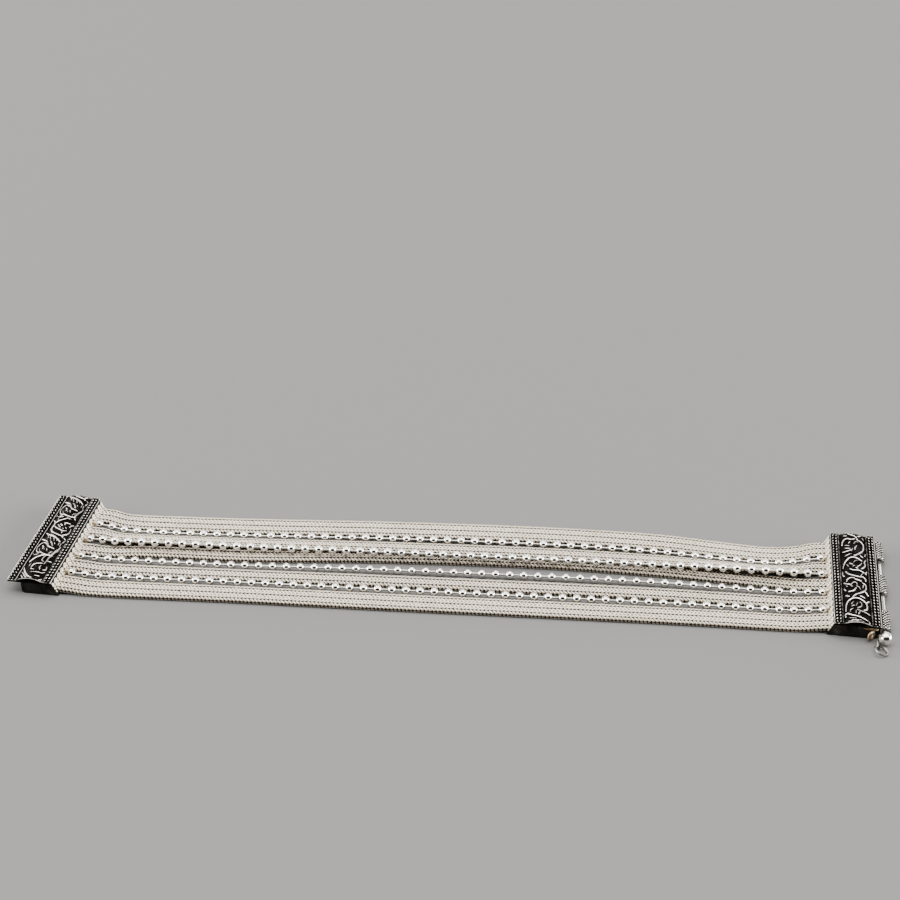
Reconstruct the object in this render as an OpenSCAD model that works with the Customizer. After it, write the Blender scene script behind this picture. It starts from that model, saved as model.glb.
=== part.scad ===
// Silver straw-weave bracelet, unfastened and lying flat: five woven straps of fine wire with four rows
// of balls between them, held by two ornamented end caps whose clasp is closed by a ball-headed pin.
// X runs along the band towards the cap with the pin, Y across the band away from the clasp's ball end,
// Z up. The origin is the middle of the outline on the surface that the bracelet rests on.

/* [Band] */
// Length between the inner edges of the two cap plates
band_l = 166.8; // [166.4:0.1:167.4]
// Width of the three inner straps
inner_w = 4.2; // [4.0:0.1:4.25]
// Width of the two outer straps
outer_w = 5.5; // [5.2:0.1:5.6]
// Thickness of a woven strap
strap_t = 1.0; // [0.9:0.05:1.05]
// Distance between neighbouring ball rows where they enter the caps
row_pitch = 6.3; // [6.25:0.05:6.4]
// Lean of the caps across the band, in degrees
cap_lean = 4; // [3:0.5:5]

/* [Ball rows] */
// Balls in one row
ball_count = 54; // [52:1:54]
// Distance between neighbouring balls
ball_pitch = 3.075; // [3.0:0.005:3.075]
// Diameter of a ball
ball_d = 1.9; // [1.7:0.05:1.95]
// Diameter of the wire that carries the balls
wire_d = 0.56; // [0.5:0.02:0.6]

/* [End caps] */
// Length of a cap across the band
cap_l = 33.5; // [33.4:0.1:34]
// Width of a cap's top plate
plate_w = 9.8; // [9.8:0.1:10.2]
// Height of the plate's top face above the surface
plate_z = 3.2; // [3.1:0.1:3.4]
// Thickness of the plate
plate_t = 0.35; // [0.3:0.05:0.4]
// How far the slanted lip reaches out under the band
lip = 1.3; // [1.2:0.1:1.4]
// Overhang of the left cap's plate over its clasp side
overhang = 2.9; // [2.8:0.1:3.0]
// Diameter of a twisted border wire
rope_d = 0.72; // [0.68:0.01:0.74]
// Diameter of a plain border wire
edge_d = 0.3; // [0.24:0.02:0.34]
// Width of the crowned ornament band
crown_w = 5.8; // [5.6:0.1:5.8]
// Rise of the ornament band above the plate
crown_h = 0.75; // [0.6:0.05:0.9]
// Height of the raised scrolls above the ornament band
relief = 0.28; // [0.2:0.02:0.3]

/* [Clasp] */
// Outer diameter of the knuckles
knuckle_d = 2.6; // [2.5:0.05:2.7]
// Length of one knuckle
knuckle_l = 6.4; // [6.2:0.05:6.4]
// Diameter of the pin
pin_d = 1.2; // [1.1:0.05:1.3]
// Radial clearance of the pin in the knuckles
pin_clear = 0.07; // [0.05:0.01:0.09]
// Diameter of the ball at the pin's end
head_d = 2.8; // [2.74:0.02:2.84]
// Outer diameter of the pull ring and of the loop that it hangs in
ring_d = 3.2; // [3.2:0.02:3.26]
// Diameter of the wire of the ring and the loop
ring_wire = 0.45; // [0.4:0.01:0.46]

/* [Hidden] */
$fn = 48;

// Moves the middle of the outline onto the origin
outline_shift = [-1.06, 3.02, 0];

lean = tan(cap_lean);
half_band = band_l / 2;
slot = row_pitch - inner_w;
rest_gap = 0.03;
strap_rest = strap_t / 2 + rest_gap;
ball_rest = ball_d / 2 + rest_gap;

// How the strands lie. S is the station along the band. The far group of two straps and two rows arches up
// and leans against itself, so its two rows have a place Y and a height Z of their own, the third strap C
// slips under it, and the near group lies flat. CLIMB goes to 1 where the strands rise into the caps, and
// ROLL is the tilt of the far outer strap, far edge up, in degrees.
S = 0;
ROW1_Y = 1;
ROW1_Z = 2;
ROW2_Y = 3;
ROW2_Z = 4;
C_Y = 5;
ROW3_Y = 6;
ROW4_Y = 7;
CLIMB = 8;
ROLL = 9;
lay = [
    // S   ROW1_Y ROW1_Z ROW2_Y ROW2_Z C_Y  ROW3_Y ROW4_Y CLIMB ROLL
    [-84,   9.45,  1.45,  3.15,  1.45, 0.0, -3.15, -9.45,  1,   0],
    [-80,   9.33,  1.3,   3.02,  1.75, 0.0, -3.2,  -9.6,   0.5, 0],
    [-76,   8.25,  1.0,   2.0,   2.2,  0.0, -3.4,  -9.9,   0,   1],
    [-68,   7.78,  1.0,   1.65,  2.55, 0.7, -3.5, -10.0,   0,   3],
    [-45,   8.1,   1.15,  1.95,  2.4,  1.0, -3.35, -9.7,   0,   4],
    [-15,   8.6,   1.75,  2.3,   2.5,  3.2, -2.4,  -9.7,   0,   4],
    [ 20,   8.9,   2.0,   2.6,   2.4,  4.0, -1.95, -9.55,  0,   4],
    [ 45,   8.6,   1.7,   2.35,  2.6,  3.1, -2.1,  -9.5,   0,   4],
    [ 60,   7.8,   1.15,  1.8,   3.05, 1.8, -2.7,  -9.6,   0,   2],
    [ 70,   7.3,   1.0,   1.4,   3.2,  0.9, -3.1,  -9.8,   0,   0],
    [ 76,   8.1,   1.05,  1.93,  2.65, 0.3, -3.2,  -9.8,   0,   0],
    [ 80,   9.33,  1.3,   3.0,   1.8,  0.0, -3.2,  -9.6,   0.5, 0],
    [ 84,   9.45,  1.45,  3.15,  1.45, 0.0, -3.15, -9.45,  1,   0],
];

// Smooth interpolation in one column of the lay table
function row_at(s, i = 0) = i >= len(lay) - 2 || s < lay[i + 1][S] ? i : row_at(s, i + 1);
function rise_at(i, c) =
    i == 0 || i == len(lay) - 1
        ? 0
        : (lay[i + 1][c] - lay[i - 1][c]) / (lay[i + 1][S] - lay[i - 1][S]);
function lay_at(s, c) =
    let (
        i = row_at(s),
        span = lay[i + 1][S] - lay[i][S],
        t = (s - lay[i][S]) / span
    )
    (2 * t ^ 3 - 3 * t ^ 2 + 1) * lay[i][c]
        + (t ^ 3 - 2 * t ^ 2 + t) * span * rise_at(i, c)
        + (3 * t ^ 2 - 2 * t ^ 3) * lay[i + 1][c]
        + (t ^ 3 - t ^ 2) * span * rise_at(i + 1, c);

// The near rows and straps rest flat and rise a little into the caps
row_climb = 0.42;
strap_climb = 0.57;
function row_rise(s) = ball_rest + row_climb * lay_at(s, CLIMB);
function strap_rise(s) = strap_rest + strap_climb * lay_at(s, CLIMB);
// How far a strap's middle lies below the line through its neighbouring balls
function drop(s) = row_rise(s) - strap_rise(s);

// Centre of ball row n at station s, as place across the band and height
function row_yz(n, s) =
    n == 1 ? [lay_at(s, ROW1_Y), lay_at(s, ROW1_Z)]
    : n == 2 ? [lay_at(s, ROW2_Y), lay_at(s, ROW2_Z)]
    : n == 3 ? [lay_at(s, ROW3_Y), row_rise(s)]
    : [lay_at(s, ROW4_Y), row_rise(s)];

// Centre and tilt of strap n at station s, as place across the band, height and tilt in degrees.
// Straps 2 and 4 hang between their two rows, and straps 1 and 5 lie outside the outer rows.
outer_reach = slot / 2 + outer_w / 2;
far_strap_gap = 0.15;
function between(a, b, s) =
    let (tilt = atan2(a.y - b.y, a.x - b.x))
    [(a.x + b.x) / 2 + drop(s) * sin(tilt), (a.y + b.y) / 2 - drop(s) * cos(tilt), tilt];
function strap_pose(n, s) =
    n == 1
        ? let (a = row_yz(1, s), tilt = lay_at(s, ROLL))
            [a.x + outer_reach * cos(tilt) + far_strap_gap * (1 - lay_at(s, CLIMB)),
             a.y - drop(s) + outer_reach * sin(tilt), tilt]
    : n == 2 ? between(row_yz(1, s), row_yz(2, s), s)
    : n == 3 ? [lay_at(s, C_Y), strap_rise(s), 0]
    : n == 4 ? between(row_yz(3, s), row_yz(4, s), s)
    : [lay_at(s, ROW4_Y) - outer_reach, strap_rise(s), 0];

// Stations of the rings of a strap, closer together near the caps
tuck = 0.9;
strap_end = half_band + tuck;
strap_steps = 48;
function station(i, steps, end) =
    let (t = 2 * i / steps - 1)
    end * (t + 0.22 * sin(180 * t) / PI);

// A point of the band from its station, place across and height
function band_point(s, y, z) = [s + lean * y, y, z];

// Closed skin over rings of the same count
module swept(rings) {
    n = len(rings[0]);
    last = len(rings) - 1;
    points = [for (r = rings) each r];
    sides = [
        for (i = [0 : last - 1], k = [0 : n - 1])
            let (a = i * n + k, b = i * n + (k + 1) % n)
            [a, b, b + n, a + n]
    ];
    ends = [[for (k = [n - 1 : -1 : 0]) k], [for (k = [0 : n - 1]) last * n + k]];
    polyhedron(points = points, faces = concat(sides, ends), convexity = 6);
}

// Outline of a strap's section: flat faces and rounded edges
strap_edge_r = 0.28;
function strap_section(w, t) =
    let (r = strap_edge_r)
    [
        for (corner = [[1, -1, 0], [1, 1, 90], [-1, 1, 180], [-1, -1, 270]], a = [-90, -45, 0])
            [corner[0] * (w / 2 - r) + r * cos(a + corner[2]),
             corner[1] * (t / 2 - r) + r * sin(a + corner[2])]
    ];

module weave_strip(n) {
    w = n == 1 || n == 5 ? outer_w : inner_w;
    section = strap_section(w, strap_t);
    rings = [
        for (i = [0 : strap_steps])
            let (
                s = station(i, strap_steps, strap_end),
                pose = strap_pose(n, s),
                c = cos(pose[2]),
                d = sin(pose[2])
            )
            [for (p = section) band_point(s, pose[0] + p.x * c - p.y * d, pose[1] + p.x * d + p.y * c)]
    ];
    color("gainsboro") swept(rings);
}

// Station of ball i of a row
function ball_s(i) = (i - (ball_count - 1) / 2) * ball_pitch;
function row_point(n, s) = let (p = row_yz(n, s)) band_point(s, p.x, p.y);

// Drilled balls, each turned along its wire
drill_d = wire_d + 0.36;
module bead_row(n) {
    color("whitesmoke")
    for (i = [0 : ball_count - 1]) {
        s = ball_s(i);
        way = row_point(n, s + ball_pitch / 2) - row_point(n, s - ball_pitch / 2);
        translate(row_point(n, s))
        rotate([0, atan2(norm([way.x, way.y]), way.z), atan2(way.y, way.x)])
        difference() {
            sphere(d = ball_d);
            cylinder(h = 2 * ball_d, d = drill_d, center = true);
        }
    }
}

// The wire runs straight from ball to ball and ends just inside the caps
module bead_wire(n) {
    sides = 8;
    end = half_band + 0.4;
    stations = concat([-end], [for (i = [0 : ball_count - 1]) ball_s(i)], [end]);
    rings = [
        for (s = stations)
            let (p = row_point(n, s))
            [for (k = [0 : sides - 1])
                let (a = 360 * k / sides)
                p + wire_d / 2 * [0, cos(a), sin(a)]]
    ];
    color("silver") swept(rings);
}

// A cap is drawn in its own axes and then placed: U runs from the band side to the clasp side, V along
// the cap, away from the ball end, and Z up. U is 0 at the inner edge of the plate.
module place_left() {
    translate([-half_band, 0, 0])
    rotate(-cap_lean)
    mirror([1, 0, 0])
    children();
}

module place_right() {
    translate([half_band, 0, 0])
    rotate(-cap_lean)
    children();
}

// Solid drawn by its outline across the cap, with U to the right and Z up
module along_cap(from, to) {
    translate([0, to, 0])
    rotate([90, 0, 0])
    linear_extrude(to - from)
    children();
}

box_l = cap_l - 0.5;
plate_under = plate_z - plate_t;
foot_bevel = 0.5;
// Depth by which soldered pieces run into each other
weld = 0.1;

// Box with its slanted lip on the band side, WALL being the place of its clasp-side wall
module cap_box(wall) {
    along_cap(-box_l / 2, box_l / 2)
    polygon([
        [-lip, 0],
        [wall - foot_bevel, 0],
        [wall, foot_bevel],
        [wall, plate_under + weld],
        [0, plate_under + weld],
        [0, plate_under]
    ]);
}

// Borders of the plate, from the inner edge outwards: plain wire, two twisted wires, plain wire, and the
// same on the clasp side
crown_u = plate_w / 2;
rope_overlap = 0.04;
rope_u = [0.25 + rope_d / 2, 0.25 + rope_d * 1.5 - rope_overlap];
edge_u = [edge_d / 2, crown_u - crown_w / 2 - edge_d / 2];
function both_sides(list) = concat(list, [for (u = list) plate_w - u]);

module border_wires() {
    for (u = both_sides(rope_u))
        translate([u, cap_l / 2 - 0.15, plate_z + rope_d / 2 - 0.12])
        rotate([90, 0, 0])
        cylinder(h = cap_l - 0.3, d = rope_d);
    for (u = both_sides(edge_u))
        translate([u - edge_d / 2, -cap_l / 2, plate_z - 0.05])
        cube([edge_d, cap_l, edge_d * 0.9]);
    for (v = [-cap_l / 2, cap_l / 2 - edge_d])
        translate([0, v, plate_z - 0.05])
        cube([plate_w, edge_d, edge_d * 0.9]);
}

// Crowned band of the ornament, GROWN outwards by the height of the relief for the scrolls' top faces
crown_r = (crown_w ^ 2 / 4 + crown_h ^ 2) / (2 * crown_h);
module crown(length, grown = 0) {
    intersection() {
        translate([crown_u, length / 2, plate_z + crown_h - crown_r])
        rotate([90, 0, 0])
        cylinder(h = length, r = crown_r + grown, $fn = 96);
        translate([crown_u - crown_w / 2, -length / 2, plate_z - 0.1])
        cube([crown_w, length, 3]);
    }
}

// Part of a flat ring from angle A to angle B, no more than 180 degrees apart
module arc_bar(r, stroke, a, b) {
    wedge = [for (t = [a, (a + b) / 2, b]) 4 * r * [cos(t), sin(t)]];
    intersection() {
        difference() {
            circle(r = r + stroke / 2);
            circle(r = r - stroke / 2);
        }
        polygon(concat([[0, 0]], wedge));
    }
}

module leaf(at, turn, length, width) {
    translate(at)
    rotate(turn)
    union() {
        translate([0, -width / 2])
        square([length, width]);
        translate([length, 0])
        circle(d = width * 1.25);
    }
}

// One curl of the scroll: an open outer ring, an inner ring that ends in a bud, and leaves
curl_r = 2.25;
stem = 0.36;
module curl() {
    arc_bar(curl_r, stem, -35, 100);
    arc_bar(curl_r, stem, 99, 220);
    translate([0.25, -0.2]) {
        arc_bar(1.15, stem * 0.85, 40, 170);
        arc_bar(1.15, stem * 0.85, 169, 290);
        translate(1.15 * [cos(290), sin(290)])
        circle(r = 0.36);
    }
    leaf([0.2, -0.1], 20, 0.8, 0.3);
    leaf([0.1, -0.2], 120, 0.7, 0.3);
    leaf([-1.0, -1.2], 250, 0.75, 0.3);
    leaf([1.75, -1.3], 300, 0.5, 0.3);
}

// Leafy frond that leads from one curl to the next
module frond() {
    leaf([-1.5, -2.45], 62, 5.2, stem);
    for (k = [0 : 3])
        leaf([-1.2 + 0.5 * k, -1.9 + 0.95 * k], 155, 0.75, 0.26);
}

curl_step = 7.45;
curl_count = 5;
module scroll_band() {
    for (i = [0 : curl_count - 1]) {
        v = (i - (curl_count - 1) / 2) * curl_step;
        translate([v, 0])
        mirror([0, i % 2, 0])
        curl();
        if (i < curl_count - 1)
            translate([v + curl_step / 2, 0])
            mirror([0, i % 2, 0])
            frond();
    }
}

module raised_scrolls() {
    intersection() {
        translate([crown_u, 0, plate_z])
        rotate(90)
        linear_extrude(2)
        intersection() {
            scroll_band();
            square([cap_l - 1.2, crown_w - 0.2], center = true);
        }
        crown(cap_l - 1, relief);
    }
}

// Pockets in the lip that take the straps' ends, and holes that take the wires
pocket_play = 0.25;
pocket_depth = tuck + 0.1;
module strand_pockets() {
    for (n = [1 : 5]) {
        w = (n == 1 || n == 5 ? outer_w : inner_w) + 2 * pocket_play;
        middle = n == 1 || n == 5 ? (3 - n) / 2 * (1.5 * row_pitch + outer_reach) : (3 - n) * row_pitch;
        translate([-lip - 1, middle - w / 2, strap_rise(-half_band) - strap_t / 2 - pocket_play])
        cube([lip + 1 + pocket_depth, w, strap_t + 2 * pocket_play]);
    }
    for (n = [1 : 4])
        translate([-lip - 1, (2.5 - n) * row_pitch, row_rise(-half_band) + 0.03])
        rotate([0, 90, 0])
        cylinder(h = lip + 2, d = wire_d + 2 * pocket_play);
}

module cap_body(wall) {
    difference() {
        union() {
            cap_box(wall);
            translate([0, -cap_l / 2, plate_under])
            cube([plate_w, cap_l, plate_t]);
            border_wires();
            crown(cap_l - 2 * edge_d);
            raised_scrolls();
        }
        strand_pockets();
    }
}

// Knuckles: five equal stretches along the pin, the odd ones on the right cap and the even ones hidden
// under the left cap's overhang
axis_z = knuckle_d / 2 + 0.15;
right_axis_u = plate_w + 0.86;
left_axis_u = plate_w - 0.8;
knuckle_end = 0.3 - 2.5 * knuckle_l;
knuckle_play = 0.12;
bore_d = pin_d + 2 * pin_clear;

// Knuckle K, with a web to the wall at U
module knuckle(k, axis_u, wall) {
    length = knuckle_l - 2 * knuckle_play;
    translate([0, knuckle_end + k * knuckle_l + knuckle_play, 0])
    difference() {
        union() {
            translate([axis_u, length, axis_z])
            rotate([90, 0, 0])
            cylinder(h = length, d = knuckle_d);
            translate([wall - 0.2, 0, axis_z - 0.9])
            cube([axis_u - wall + 0.2, length, 1.8]);
        }
        translate([axis_u, length + 1, axis_z])
        rotate([90, 0, 0])
        cylinder(h = length + 2, d = bore_d);
    }
}

left_wall = plate_w - overhang;
right_wall = right_axis_u - knuckle_d / 2 - 0.1;

module left_cap() {
    color("lightslategray")
    place_left()
    union() {
        cap_body(left_wall);
        for (k = [1, 3])
            knuckle(k, left_axis_u, left_wall);
    }
}

// Small eye soldered to the right cap's near end wall, low down beside its outer corner
eye_d = 2.3;
eye_wire = 0.6;
eye_at = [right_wall - 1.5, -box_l / 2 - eye_d / 2 + eye_wire * 0.75];
module end_eye() {
    translate([eye_at.x, eye_at.y, axis_z - 0.2])
    rotate([90, 0, 50])
    rotate_extrude()
    translate([(eye_d - eye_wire) / 2, 0])
    circle(d = eye_wire, $fn = 16);
}

module right_cap() {
    color("lightslategray")
    place_right()
    union() {
        cap_body(right_wall);
        for (k = [0, 2, 4])
            knuckle(k, right_axis_u, right_wall);
        end_eye();
    }
}

// Upright ring in the plane along the cap, soldered to the ball's inner side
ring_r = (ring_d - ring_wire) / 2;
loop_bite = 0.1;
loop_reach = 1.7;
module pin_loop() {
    translate([-head_d / 2 - loop_bite, -loop_reach, ring_d / 2 + rest_gap - axis_z])
    rotate([0, 90, 0])
    rotate_extrude()
    translate([ring_r, 0])
    circle(d = ring_wire, $fn = 16);
}

// Pin with its neck, ball and loop, from its tip at the far end
pin_tip = knuckle_end + 5 * knuckle_l + 0.3;
neck_l = 0.85;
head_v = knuckle_end - neck_l - head_d / 2;
module clasp_pin() {
    color("silver")
    place_right()
    translate([right_axis_u, 0, axis_z])
    union() {
        translate([0, pin_tip, 0])
        rotate([90, 0, 0])
        cylinder(h = pin_tip - head_v, d = pin_d);
        translate([0, head_v, 0]) {
            sphere(d = head_d);
            pin_loop();
        }
    }
}

// Ring that hangs in the loop, leans on the loop's wire and lies on the surface before the ball
ring_lean = 18;
ring_at = [-0.96, -3.25];
ring_rise = ring_wire / 2 + rest_gap + ring_r * sin(ring_lean);
module pull_ring() {
    color("gray")
    place_right()
    translate([right_axis_u + ring_at.x, head_v + ring_at.y, ring_rise])
    rotate([0, ring_lean, 0])
    rotate_extrude()
    translate([ring_r, 0])
    circle(d = ring_wire, $fn = 16);
}

translate(outline_shift) {
    left_cap();
    right_cap();
    weave_strip(1);  // weave_strip_1
    weave_strip(2);  // weave_strip_2
    weave_strip(3);  // weave_strip_3
    weave_strip(4);  // weave_strip_4
    weave_strip(5);  // weave_strip_5
    bead_row(1);  // bead_row_1
    bead_row(2);  // bead_row_2
    bead_row(3);  // bead_row_3
    bead_row(4);  // bead_row_4
    bead_wire(1);  // bead_wire_1
    bead_wire(2);  // bead_wire_2
    bead_wire(3);  // bead_wire_3
    bead_wire(4);  // bead_wire_4
    clasp_pin();
    pull_ring();
}
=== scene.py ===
"""Looks of the silver straw-weave bracelet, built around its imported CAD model.

Lengths are in millimetres until a mesh is made. A point of the band is given by its station S along the
band and by its place across it; a point of a cap by U, from the band side to the clasp side, V, along
the cap, and Z.
"""

import math

import bpy
import numpy as np
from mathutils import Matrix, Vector


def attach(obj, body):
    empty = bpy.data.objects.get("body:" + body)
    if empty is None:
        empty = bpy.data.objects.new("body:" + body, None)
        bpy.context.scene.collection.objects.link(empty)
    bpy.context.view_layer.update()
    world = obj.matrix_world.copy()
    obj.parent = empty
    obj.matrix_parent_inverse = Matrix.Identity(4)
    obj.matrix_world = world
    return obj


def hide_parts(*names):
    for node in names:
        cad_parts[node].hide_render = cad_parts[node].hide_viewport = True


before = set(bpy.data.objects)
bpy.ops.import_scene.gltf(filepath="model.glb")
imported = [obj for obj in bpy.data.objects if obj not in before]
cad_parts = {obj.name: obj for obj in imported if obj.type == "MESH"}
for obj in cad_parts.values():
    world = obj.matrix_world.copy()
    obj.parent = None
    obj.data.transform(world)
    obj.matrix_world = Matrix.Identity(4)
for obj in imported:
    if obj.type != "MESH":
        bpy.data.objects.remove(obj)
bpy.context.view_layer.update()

MM = 0.001
rng = np.random.default_rng(11)

# The driving sizes of the CAD model
SHIFT = np.array([-1.06, 3.02, 0.0])
HALF_BAND = 83.4
LEAN = math.radians(4)
INNER_W, OUTER_W, STRAP_T = 4.2, 5.5, 1.0
ROW_PITCH = 6.3
BALL_COUNT, BALL_PITCH, BALL_D, WIRE_D = 54, 3.075, 1.9, 0.56
CAP_L, PLATE_W, PLATE_Z, PLATE_T, LIP, OVERHANG = 33.5, 9.8, 3.2, 0.35, 1.3, 2.9
ROPE_D, EDGE_D, CROWN_W, CROWN_H = 0.72, 0.3, 5.8, 0.75
KNUCKLE_D, KNUCKLE_L, PIN_D, HEAD_D = 2.6, 6.4, 1.2, 2.8
RING_D, RING_WIRE = 3.2, 0.45
REST_GAP = 0.03

# How the strands lie, as in the CAD model: station, place and height of rows 1 and 2, places of the middle
# strap (C) and rows 3 and 4, CLIMB (1 at the lips, 0 on the ground), ROLL of the farthest strap in degrees
LAY = np.array([
    [-84, 9.45, 1.45, 3.15, 1.45, 0.0, -3.15, -9.45, 1, 0],
    [-80, 9.33, 1.3, 3.02, 1.75, 0.0, -3.2, -9.6, 0.5, 0],
    [-76, 8.25, 1.0, 2.0, 2.2, 0.0, -3.4, -9.9, 0, 1],
    [-68, 7.78, 1.0, 1.65, 2.55, 0.7, -3.5, -10.0, 0, 3],
    [-45, 8.1, 1.15, 1.95, 2.4, 1.0, -3.35, -9.7, 0, 4],
    [-15, 8.6, 1.75, 2.3, 2.5, 3.2, -2.4, -9.7, 0, 4],
    [20, 8.9, 2.0, 2.6, 2.4, 4.0, -1.95, -9.55, 0, 4],
    [45, 8.6, 1.7, 2.35, 2.6, 3.1, -2.1, -9.5, 0, 4],
    [60, 7.8, 1.15, 1.8, 3.05, 1.8, -2.7, -9.6, 0, 2],
    [70, 7.3, 1.0, 1.4, 3.2, 0.9, -3.1, -9.8, 0, 0],
    [76, 8.1, 1.05, 1.93, 2.65, 0.3, -3.2, -9.8, 0, 0],
    [80, 9.33, 1.3, 3.0, 1.8, 0.0, -3.2, -9.6, 0.5, 0],
    [84, 9.45, 1.45, 3.15, 1.45, 0.0, -3.15, -9.45, 1, 0],
])
ROW1_Y, ROW1_Z, ROW2_Y, ROW2_Z, C_Y, ROW3_Y, ROW4_Y, CLIMB, ROLL = range(1, 10)
SLOT = ROW_PITCH - INNER_W
OUTER_REACH = SLOT / 2 + OUTER_W / 2
FAR_STRAP_GAP = 0.15
# How far the rows and the straps rise from the ground to the lips
ROW_CLIMB, STRAP_CLIMB = 0.42, 0.57


# Meshes


class Soup:
    """Points and faces of one mesh, gathered from many small parts."""

    def __init__(self):
        self.points, self.faces, self.slots, self.marks = [], [], [], []
        self.count = 0

    def add(self, points, faces, slot=0, mark=1.0):
        """Adds a part. MARK is one value or one for each point: 1 is bright, 0 is oxidised, and on woven
        wire 0 is painted shade.
        """
        points = np.asarray(points, float).reshape(-1, 3)
        faces = np.asarray(faces, int)
        self.points.append(points)
        self.faces.append(faces + self.count)
        self.slots.append(np.full(len(faces), slot))
        self.marks.append(np.broadcast_to(np.asarray(mark, float).ravel(), (len(points),)))
        self.count += len(points)

    def map(self, change, flip):
        """Sends every point through CHANGE, and turns the faces round if FLIP is set."""
        self.points = [change(p) for p in self.points]
        if flip:
            self.faces = [f[:, ::-1] for f in self.faces]

    def build(self, name, materials, sharp=None):
        """Makes the piece. Edges steeper than SHARP degrees are shaded as edges."""
        mesh = bpy.data.meshes.new(name)
        points = (np.concatenate(self.points) + SHIFT) * MM
        loops = np.concatenate([f.ravel() for f in self.faces])
        sizes = np.concatenate([np.full(len(f), f.shape[1]) for f in self.faces])
        mesh.vertices.add(len(points))
        mesh.vertices.foreach_set("co", points.ravel())
        mesh.loops.add(len(loops))
        mesh.loops.foreach_set("vertex_index", loops)
        mesh.polygons.add(len(sizes))
        mesh.polygons.foreach_set("loop_start", np.concatenate([[0], np.cumsum(sizes)[:-1]]))
        mesh.polygons.foreach_set("material_index", np.concatenate(self.slots))
        for m in materials:
            mesh.materials.append(m)
        mark = mesh.attributes.new("bright", "FLOAT", "POINT")
        mark.data.foreach_set("value", np.concatenate(self.marks).astype(np.float32))
        mesh.update(calc_edges=True)
        mesh.validate()
        mesh.shade_smooth()
        if sharp is not None:
            mesh.set_sharp_from_angle(angle=math.radians(sharp))
        piece = bpy.data.objects.new(name, mesh)
        bpy.context.scene.collection.objects.link(piece)
        return piece


def grid_faces(rows, columns, closed=False):
    """Quads between ROWS rings of COLUMNS points each, round if CLOSED."""
    r, c = np.meshgrid(np.arange(rows - 1), np.arange(columns if closed else columns - 1), indexing="ij")
    d = (c + 1) % columns
    quads = np.stack([r * columns + c, r * columns + d, (r + 1) * columns + d, (r + 1) * columns + c], -1)
    return quads.reshape(-1, 4)


def unit(v):
    v = np.asarray(v, float)
    return v / np.linalg.norm(v, axis=-1, keepdims=True)


def angles(count):
    """COUNT angles evenly round a circle."""
    return np.linspace(0, 2 * math.pi, count, endpoint=False)


def sideways(way):
    """Two directions at right angles to WAY and to each other."""
    helper = np.array([0.0, 0.0, 1.0]) if abs(way[..., 2]).mean() < 0.8 else np.array([1.0, 0.0, 0.0])
    side = unit(np.cross(way, helper))
    return side, np.cross(side, way)


def close_ends(soup, rings, slot, marks):
    """Faces over the first and the last of the RINGS. MARKS is one value or one for each point."""
    n = rings.shape[1]
    marks = np.broadcast_to(marks, (len(rings) * n,))
    soup.add(rings[0], [list(range(n))[::-1]], slot, marks[:n])
    soup.add(rings[-1], [list(range(n))], slot, marks[-n:])


def tube(soup, path, radius, sides, slot=0, mark=1.0, caps=True):
    """Round tube along an open path. RADIUS is one value or one for each point of the path, and MARK one
    value or a function of the points."""
    path = np.asarray(path, float)
    n = len(path)
    way = unit(np.gradient(path, axis=0))
    side, up = sideways(way)
    a = angles(sides)
    radius = np.broadcast_to(np.asarray(radius, float).ravel(), (n,))
    ring = np.cos(a)[None, :, None] * side[:, None, :] + np.sin(a)[None, :, None] * up[:, None, :]
    points = path[:, None, :] + radius[:, None, None] * ring
    marks = mark(points.reshape(-1, 3)) if callable(mark) else np.full(n * sides, mark)
    soup.add(points, grid_faces(n, sides, True), slot, marks)
    if caps:
        close_ends(soup, points, slot, marks)


def hoop(soup, centre, across, along, radius, wire, slot=0, mark=1.0):
    """Ring of round wire in the plane of the two directions ACROSS and ALONG."""
    across, along = unit(across), unit(along)
    normal = np.cross(across, along)
    around, sides = 48, 12
    a, b = angles(around), angles(sides)
    out = np.cos(a)[:, None] * across + np.sin(a)[:, None] * along
    points = (
        centre + (radius + wire * np.cos(b))[None, :, None] * out[:, None, :]
        + wire * np.sin(b)[None, :, None] * normal
    )
    faces = grid_faces(around + 1, sides, True) % (around * sides)
    soup.add(points, faces[:, ::-1], slot, mark)


def lathe(soup, centre, axis, profile, sides):
    """Turned form: PROFILE is a list of (distance along the axis, radius)."""
    axis = unit(axis)
    side, up = sideways(axis)
    a = angles(sides)
    ring = np.cos(a)[:, None] * side + np.sin(a)[:, None] * up
    profile = np.asarray(profile, float)
    along, out = profile[:, 0, None, None], profile[:, 1, None, None]
    points = centre + along * axis + out * ring[None]
    soup.add(points, grid_faces(len(profile), sides, True))


def ball_profile(radius, rings):
    """Profile of a ball for lathe."""
    a = np.linspace(0, math.pi, rings)
    return np.stack([-radius * np.cos(a), np.maximum(radius * np.sin(a), 1e-4)], -1)


def slab(soup, low, high, bevel, mark):
    """Box with bevelled edges."""
    low, high = np.asarray(low, float), np.asarray(high, float)
    points = []
    for z, inset in ((low[2], bevel), (low[2] + bevel, 0), (high[2] - bevel, 0), (high[2], bevel)):
        x0, y0, x1, y1 = low[0] + inset, low[1] + inset, high[0] - inset, high[1] - inset
        b = bevel
        points.append([
            (x0 + b, y0, z), (x1 - b, y0, z), (x1, y0 + b, z), (x1, y1 - b, z),
            (x1 - b, y1, z), (x0 + b, y1, z), (x0, y1 - b, z), (x0, y0 + b, z),
        ])
    points = np.array(points)
    soup.add(points, grid_faces(4, 8, True), mark=mark)
    close_ends(soup, points, 0, mark)


# The lay of the strands


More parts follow.
